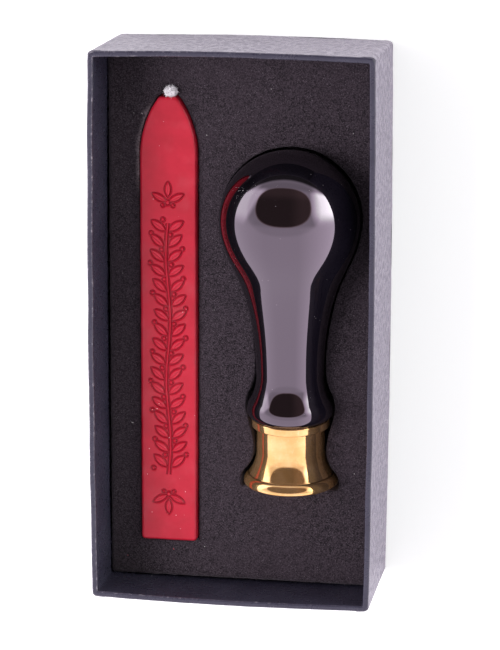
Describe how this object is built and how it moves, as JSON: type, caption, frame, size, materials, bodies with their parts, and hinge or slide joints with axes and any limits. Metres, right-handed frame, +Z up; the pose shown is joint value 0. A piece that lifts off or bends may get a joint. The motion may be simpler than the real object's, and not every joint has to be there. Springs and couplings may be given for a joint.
{
  "type": "wax seal set box",
  "caption": "Open paper-covered tray with a foam insert that holds a pointed wax stick with a wick and a turned wax seal with a brass head.",
  "frame": {"origin": "middle of the underside of the tray's base", "axes": "+Z up out of the tray, +Y along the tray towards the wick end of the wax, +X towards the seal's side"},
  "size_m": [0.075, 0.1466, 0.0424],
  "materials": {
    "board": "bare grey board",
    "stay_paper": "kraft corner tape",
    "wrap_paper": "dark navy-charcoal, fine leather grain, slight sheen",
    "lining_paper": "matte black",
    "foam": "matte black fine-celled foam",
    "wax": "satin red sealing wax",
    "wick_cotton": "frayed white cotton",
    "handle_lacquer": "high-gloss black lacquer on turned hardwood",
    "brass": "polished",
    "steel": "plain threaded stud"
  },
  "bodies": {
    "tray": {"tray_board": "board", "corner_stay_wick_end_left": "stay_paper", "corner_stay_wick_end_right": "stay_paper", "corner_stay_die_end_left": "stay_paper", "corner_stay_die_end_right": "stay_paper", "wall_wrap": "wrap_paper", "base_wrap": "wrap_paper", "floor_lining": "lining_paper"},
    "insert": {"shelf_foam": "foam", "pocket_foam": "foam"},
    "wax": {"wax_stick": "wax", "wick": "wick_cotton"},
    "seal": {"seal_handle": "handle_lacquer", "seal_head": "brass", "seal_stud": "steel"}
  },
  "joints": [
    {"name": "insert_lift", "type": "slide", "parent": "tray", "child": "insert", "axis": [0, 0, 1], "range_m": [0, 0.045]},
    {"name": "wax_lift", "type": "slide", "parent": "insert", "child": "wax", "axis": [0, 0, 1], "range_m": [0, 0.04]},
    {"name": "seal_lift", "type": "slide", "parent": "insert", "child": "seal", "axis": [0, 0, 1], "range_m": [0, 0.05]}
  ]
}
